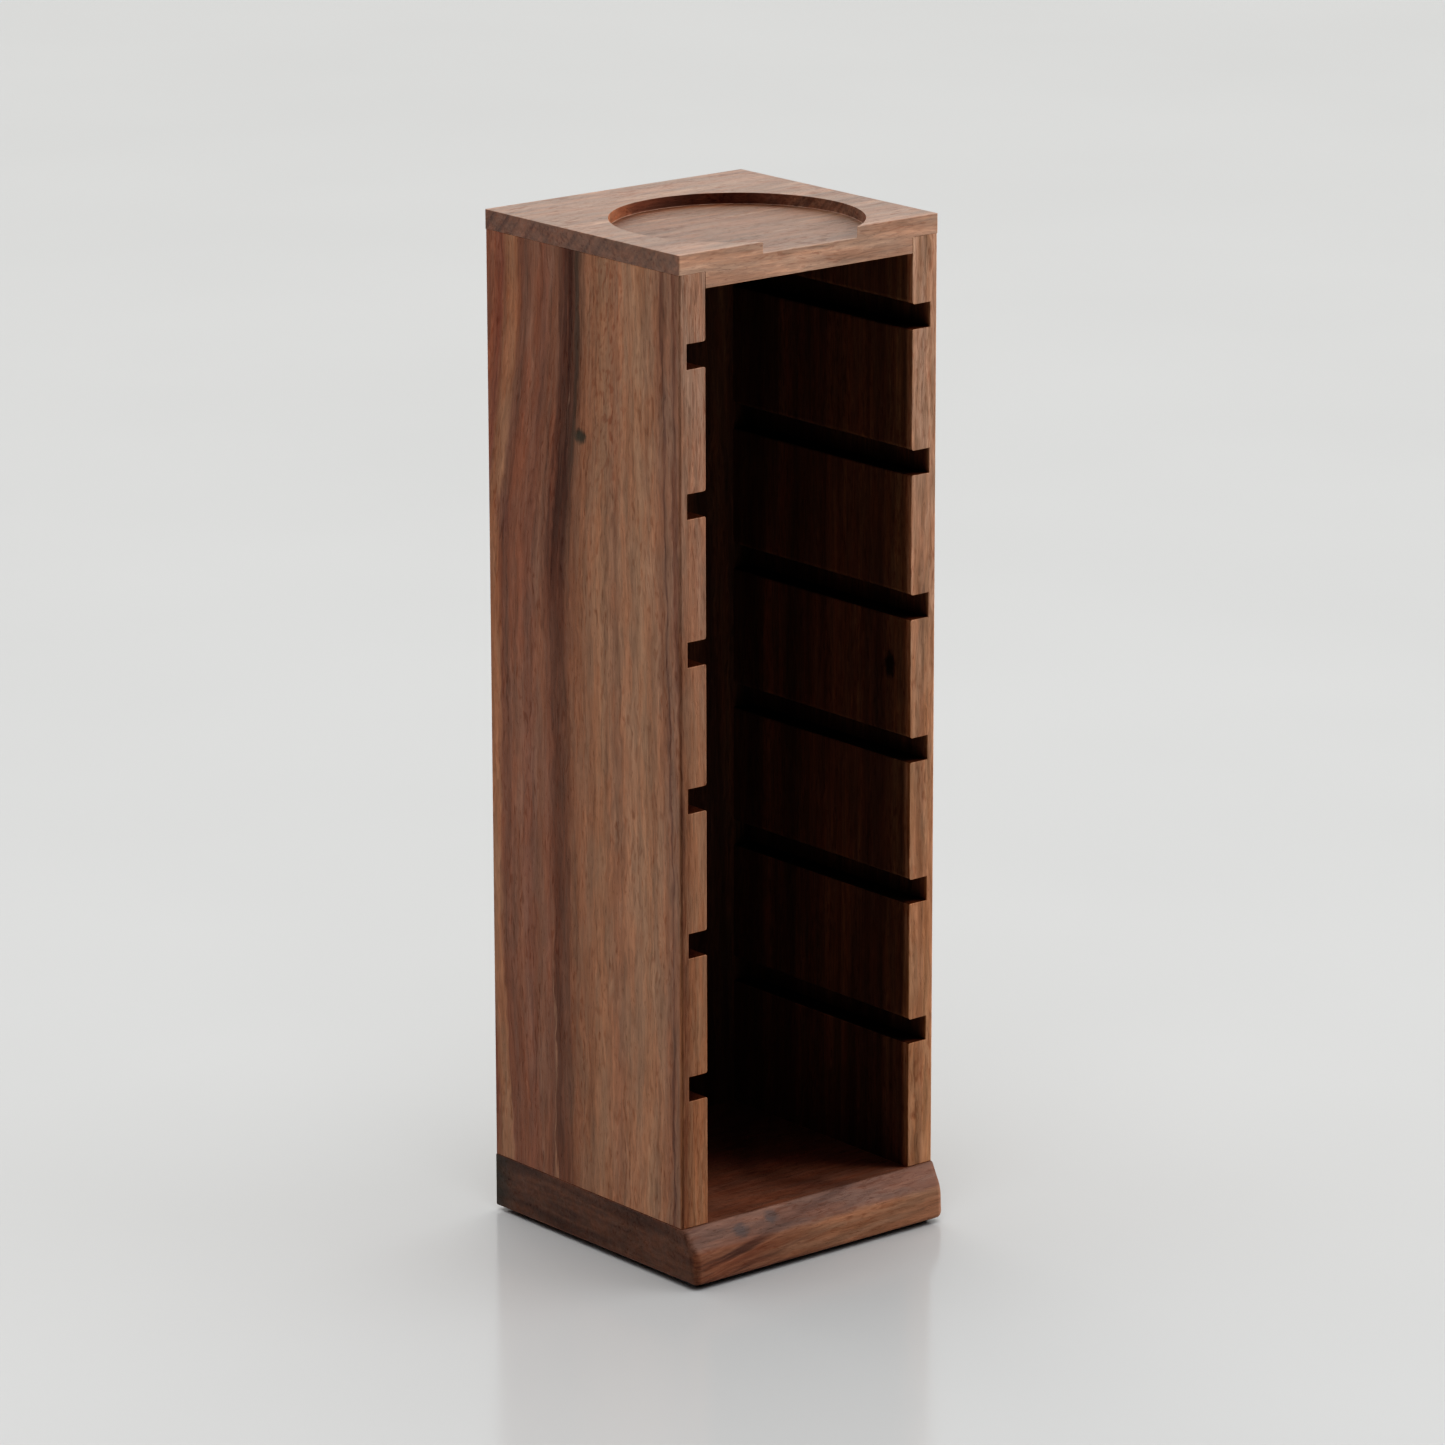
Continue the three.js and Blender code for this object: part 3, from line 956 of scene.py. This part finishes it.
def top_panel():
    """The rabbeted top, with its round seat open to the front."""
    inner = SIDE_LOW.x
    lap = SIDE_HIGH.z
    bm = cell_solid(
        [TOP_LOW.x, -inner, inner, TOP_HIGH.x], [FRONT, BACK_LOW.y, BACK],
        [TOP_LOW.z, lap, TOP_HIGH.z],
        lambda i, j, k: k == 1 or (i == 1 and j == 0),
    )
    piece = object_from("top_panel", bm)
    centre = seat_centre()
    floor = frame_mount("seat_floor").z
    cut_cylinder(piece, SEAT_RADIUS, centre, floor, TOP_HIGH.z + CUT_PAST, SEAT_STEPS)

    def radius(start, end, convex):
        x, y, z = (start + end) / 2
        from_axis = math.hypot(x - centre.x, y - centre.y)
        on_wall = near(from_axis, SEAT_RADIUS, 0.1)
        if not convex:
            return SEAT_FILLET if on_wall and near(z, floor) else 0.0
        if on_wall and near(z, TOP_HIGH.z):
            return SEAT_RIM
        if near(z, TOP_HIGH.z):
            return OUTER_EDGE
        if not near(start.z, end.z) and near(abs(x), TOP_HIGH.x):
            return TOP_CORNER
        if on_wall:
            return NOTCH_EDGE
        if near(z, floor):
            return SEAT_LIP
        if near(y, FRONT) and near(z, TOP_LOW.z):
            return INNER_EDGE
        if near(abs(x), TOP_HIGH.x) or near(y, FRONT) or near(y, BACK):
            return JOINT_EDGE
        return 0.0

    round_edges(piece, radius)
    smooth(piece)
    return piece


def seat_centre():
    """The middle of the round seat, in millimetres."""
    low, high = OPENINGS["seat_across"]
    return Vector((0, (low.y + high.y) / 2, 0))


def frame_mount(name):
    """A mount's place in millimetres."""
    mount = next(m for m in frame["record"]["mounts"] if m["name"] == name)
    return Vector(mount["pos_m"]) / MM


def nose_wave(x):
    """How far the nosing's arris strays from level, as hand work does."""
    return NOSE_WAVE * noise.noise(Vector((x / NOSE_WAVE_LENGTH, 4.2, 0.0)))


def arc(centre, radius, start, end, steps):
    """Points on an arc in a plane, from one angle to another, in degrees."""
    angles = [math.radians(start + (end - start) * i / steps) for i in range(steps + 1)]
    return [centre + Vector((math.cos(a), math.sin(a))) * radius for a in angles]


def base_outline(x):
    """The base's full outline in Y and Z, which only its wandering arris changes along X."""
    nose = BASE_LOW.y
    top = BASE_HIGH.z
    start = Vector((FRONT - NOSE_FLAT, top))
    arris = Vector((nose, top - NOSE_DROP + nose_wave(x)))
    slope = (start - arris).normalized()
    upper = arris + slope * NOSE_BLEND
    lower = arris - Vector((0, NOSE_BLEND))
    steps = 8
    blend = []
    for i in range(steps + 1):
        t = i / steps
        blend.append(upper * (1 - t) ** 2 + arris * 2 * t * (1 - t) + lower * t**2)
    foot = Vector((nose + NOSE_LOWER_EDGE, BASE_LOW.z + NOSE_LOWER_EDGE))
    return [
        Vector((BACK, BASE_LOW.z + JOINT_EDGE)), Vector((BACK, top - JOINT_EDGE)),
        Vector((BACK - JOINT_EDGE, top)),
        start + Vector((NOSE_ROUND, 0)), start - slope * NOSE_ROUND,
        *blend, *arc(foot, NOSE_LOWER_EDGE, 180, 270, 5), Vector((BACK - JOINT_EDGE, BASE_LOW.z)),
    ]


def base_section(x):
    """The outline at one place along X, drawn in near the ends so that they are rounded."""
    from_end = BASE_HIGH.x - abs(x)
    middle = (BASE_LOW.z + BASE_HIGH.z) / 2
    points = []
    for point in base_outline(x):
        forward = min(max((FRONT - point.x) / (FRONT - BASE_LOW.y), 0.0), 1.0)
        radius = BASE_END_EDGE + (NOSE_CORNER - BASE_END_EDGE) * forward
        core = Vector((min(max(point.x, BASE_LOW.y + BASE_CORE), BACK - BASE_CORE), middle))
        short = radius - min(from_end, radius)
        inset = radius - math.sqrt(radius**2 - short**2)
        points.append(point + (core - point).normalized() * inset)
    return points


def base_stations():
    """Places along X, close together where the ends are rounded."""
    half = BASE_HIGH.x
    end_steps = 7
    flat_steps = 36
    rounds = [
        radius * (1 - math.cos(math.pi / 2 * i / end_steps))
        for radius in (BASE_END_EDGE, NOSE_CORNER) for i in range(end_steps + 1)
    ]
    ends = sorted({round(distance, 3) for distance in rounds})
    flat = half - NOSE_CORNER
    between = [-flat + 2 * flat * i / flat_steps for i in range(1, flat_steps)]
    return [-half + d for d in ends] + between + [half - d for d in reversed(ends)]


def base_panel():
    """The base, lofted along X so that its arris can wander and its ends are rounded."""
    bm = bmesh.new()
    rows = []
    for x in base_stations():
        rows.append([bm.verts.new((x, p.x, p.y)) for p in base_section(x)])
    count = len(rows[0])
    for near_row, far_row in zip(rows, rows[1:]):
        for i in range(count):
            j = (i + 1) % count
            bm.faces.new((near_row[i], near_row[j], far_row[j], far_row[i]))
    bm.faces.new(rows[0])
    bm.faces.new(list(reversed(rows[-1])))
    piece = object_from("base_panel", bm)
    for centre in dowel_centres():
        cut_cylinder(piece, DOWEL_RADIUS + DOWEL_CLEARANCE, centre,
                     mm_box(DOWELS[0])[0].z - DOWEL_CLEARANCE, BASE_HIGH.z + CUT_PAST, BORE_STEPS)
    smooth(piece, 40)
    return piece


def pad_outline():
    """Evenly spaced points around the pad's rounded rectangle."""
    per_corner = 8
    spacing = 1.5
    middle = (PAD_LOW + PAD_HIGH) / 2
    half_x = (PAD_HIGH.x - PAD_LOW.x) / 2 - PAD_CORNER
    half_y = (PAD_HIGH.y - PAD_LOW.y) / 2 - PAD_CORNER
    outline = []
    for index, (sx, sy) in enumerate(((1, 1), (-1, 1), (-1, -1), (1, -1))):
        for i in range(per_corner + 1):
            angle = math.pi / 2 * (index + i / per_corner)
            outline.append(Vector((
                middle.x + sx * half_x + PAD_CORNER * math.cos(angle),
                middle.y + sy * half_y + PAD_CORNER * math.sin(angle),
            )))
    points = []
    for a, b in zip(outline, outline[1:] + outline[:1]):
        steps = max(1, round((b - a).length / spacing))
        points += [a.lerp(b, i / steps) for i in range(steps)]
    return points


def stack_rings(bm, rings):
    """Closes a stack of equally long rings of vertices into a solid, lowest ring first."""
    for lower, upper in zip(rings, rings[1:]):
        for i in range(len(lower)):
            j = (i + 1) % len(lower)
            bm.faces.new((lower[i], lower[j], upper[j], upper[i]))
    bm.faces.new(list(reversed(rings[0])))
    bm.faces.new(rings[-1])


def pad_panel():
    """The felt pad: a thin slab with round corners and a soft, slightly ragged edge."""
    middle = (PAD_LOW + PAD_HIGH) / 2
    height = PAD_HIGH.z - PAD_LOW.z
    points = pad_outline()
    bm = bmesh.new()
    rings = []
    for level, inset in ((0.0, PAD_EDGE), (0.25, 0.1), (0.6, 0.0), (0.85, 0.1), (1.0, PAD_EDGE)):
        ring = []
        for p in points:
            inward = Vector((middle.x, middle.y)) - p
            ragged = PAD_RAGGED * (noise.noise(Vector((p.x / 1.7, p.y / 1.7, level * 3))) + 1)
            q = p + inward.normalized() * (inset + ragged)
            ring.append(bm.verts.new((q.x, q.y, PAD_LOW.z + height * level)))
        rings.append(ring)
    stack_rings(bm, rings)
    piece = object_from("pad", bm)
    smooth(piece, 60)
    return piece


def fluted_dowel(node):
    """A dowel pin with straight flutes and chamfered ends."""
    low, high = mm_box(node)
    axis = (low + high) / 2
    per_flute = 4
    steps = DOWEL_FLUTES * per_flute
    narrow = DOWEL_RADIUS - DOWEL_CHAMFER
    levels = [
        (low.z, narrow, 0.0), (low.z + DOWEL_CHAMFER, DOWEL_RADIUS, 1.0),
        (high.z - DOWEL_CHAMFER, DOWEL_RADIUS, 1.0), (high.z, narrow, 0.0),
    ]
    bm = bmesh.new()
    rings = []
    for z, radius, fluted in levels:
        ring = []
        for i in range(steps):
            angle = 2 * math.pi * i / steps
            dip = DOWEL_FLUTE_DEPTH * fluted * (1 - math.cos(DOWEL_FLUTES * angle)) / 2
            reach = radius - dip
            ring.append(bm.verts.new((
                axis.x + reach * math.cos(angle), axis.y + reach * math.sin(angle), z,
            )))
        rings.append(ring)
    stack_rings(bm, rings)
    piece = object_from(node.replace("base_dowel", "dowel"), bm)
    smooth(piece, 40)
    return piece


finish_piece(pad_panel(), "felt_pad", black_felt())
finish_piece(base_panel(), "base_board", base_wood())
finish_piece(side_panel(-1), "left_side_panel", left_panel_wood())
finish_piece(side_panel(1), "right_side_panel", right_panel_wood())
finish_piece(back_board(), "back_panel", back_panel_wood())
finish_piece(top_panel(), "top_board", top_wood())
BEECH = beech_wood()
for dowel_node in DOWELS:
    finish_piece(fluted_dowel(dowel_node), dowel_node, BEECH)


# ------------------------------ floor, light and camera


def floor():
    """A wide, plain, slightly glossy floor."""
    bm = bmesh.new()
    bmesh.ops.create_grid(bm, x_segments=8, y_segments=8, size=FLOOR_HALF)
    mesh = bpy.data.meshes.new("floor")
    bm.to_mesh(mesh)
    bm.free()
    ground = bpy.data.objects.new("floor", mesh)
    bpy.context.scene.collection.objects.link(ground)
    paper = Graph("pale_floor")
    cloud = paper.even_noise(0.004, 2.0)
    colour = paper.ramp(cloud, [(0.3, (215, 215, 213)), (0.7, (218, 218, 216))])
    paper.surface(colour, paper.add(0.14, paper.centred(cloud, 0.02)), 0.25)
    mesh.materials.append(paper.material)


def place_light(name, data, azimuth, elevation, distance):
    """Hangs a lamp on one side of the tower, aimed at its middle."""
    way = toward(azimuth, elevation)
    holder = bpy.data.objects.new(name, data)
    holder.location = Vector((0, 0, (PAD_LOW.z + TOP_HIGH.z) / 2 * MM)) + way * distance
    holder.rotation_mode = "QUATERNION"
    holder.rotation_quaternion = way.to_track_quat("Z", "Y")
    bpy.context.scene.collection.objects.link(holder)
    return holder


def softbox(name, azimuth, elevation, distance, size, power, receivers=None):
    """A wide panel of light. Given receivers, it lights only them and leaves no reflection."""
    lamp = bpy.data.lights.new(name, "AREA")
    lamp.shape = "RECTANGLE"
    lamp.size, lamp.size_y = size
    lamp.energy = power
    lamp.color = SOFTBOX_TINT
    holder = place_light(name, lamp, azimuth, elevation, distance)
    if receivers:
        holder.light_linking.receiver_collection = receivers
        holder.visible_glossy = False


def ceiling(name, azimuth, elevation, spread, strength):
    """A bright ceiling far above, which lights the whole floor evenly."""
    lamp = bpy.data.lights.new(name, "SUN")
    lamp.angle = math.radians(spread)
    lamp.energy = strength
    place_light(name, lamp, azimuth, elevation, 3.0)


def collection_of(name, members):
    """A collection of the pieces that a light may reach."""
    group = bpy.data.collections.new(name)
    for member in members:
        group.objects.link(member)
    return group


def world():
    """The studio's walls: even and pale to the camera, and patches of light to everything else."""
    sky = bpy.data.worlds.new("studio")
    bpy.context.scene.world = sky
    sky.use_nodes = True
    air = Nodes(sky.node_tree)
    way = air.split(air.new("TexCoord").outputs["Generated"])

    def patch(azimuth, elevation, edge, middle, strength):
        """A soft round patch: strength inside middle degrees of its centre, and 0 past edge."""
        aim = air.add(*map(air.mul, way, toward(azimuth, elevation)))
        return air.step(aim, math.cos(math.radians(edge)), math.cos(math.radians(middle)), 0.0, strength)

    glow = air.add(*(patch(*values) for values in WALL_PATCHES))
    to_camera = air.new("LightPath").outputs["Is Camera Ray"]
    background = air.new("Background")
    background.inputs["Color"].default_value = srgb(250, 250, 248)
    strength = air.add(glow, air.mul(to_camera, air.sub(WALL_SEEN, glow)))
    air.plug(background.inputs["Strength"], strength)
    output = air.new("OutputWorld")
    air.plug(output.inputs["Surface"], background.outputs[0])


def camera():
    """The photo's viewpoint."""
    back = toward(CAMERA_AZIMUTH, CAMERA_ELEVATION)
    data = bpy.data.cameras.new("camera")
    data.lens = CAMERA_LENS
    data.sensor_width = 36.0
    data.clip_start, data.clip_end = 0.1, 60.0
    eye = bpy.data.objects.new("camera", data)
    eye.rotation_mode = "QUATERNION"
    eye.location = CAMERA_TARGET + back * CAMERA_DISTANCE
    roll = Matrix.Rotation(math.radians(CAMERA_ROLL), 3, back).to_quaternion()
    eye.rotation_quaternion = roll @ (-back).to_track_quat("-Z", "Y")
    bpy.context.scene.collection.objects.link(eye)
    bpy.context.scene.camera = eye


def develop():
    """Sets a plain display with the toe of a contrasty print."""
    view = bpy.context.scene.view_settings
    view.view_transform = "Standard"
    view.look = "None"
    view.use_curve_mapping = True
    mapping = view.curve_mapping
    points = mapping.curves[3].points
    points[0].location = (0.0, 0.0)
    points[-1].location = (1.0, 1.0)
    for light in (0.01, 0.02, 0.04, 0.08, 0.16, 0.32, 0.64):
        points.new(light, toe(light))
    mapping.update()


floor()
TOWER = collection_of("tower", PIECES)
GROUND = collection_of("ground", [bpy.data.objects["floor"]])
for side, azimuth, power in (("right", 58, 84), ("left", -120, 45)):
    softbox(side + "_side", azimuth, 24, distance=2.6, size=(1.6, 1.6), power=power, receivers=TOWER)
for side, azimuth, power in (("right", 50, 16), ("left", -125, 10)):
    softbox(side + "_wall", azimuth, 30, distance=3.0, size=(2.2, 1.8), power=power)
softbox("front_fill", -38, 58, distance=4.0, size=(3.0, 3.0), power=40, receivers=GROUND)
ceiling("overhead", azimuth=140, elevation=76, spread=80, strength=1.95)
world()
camera()
develop()
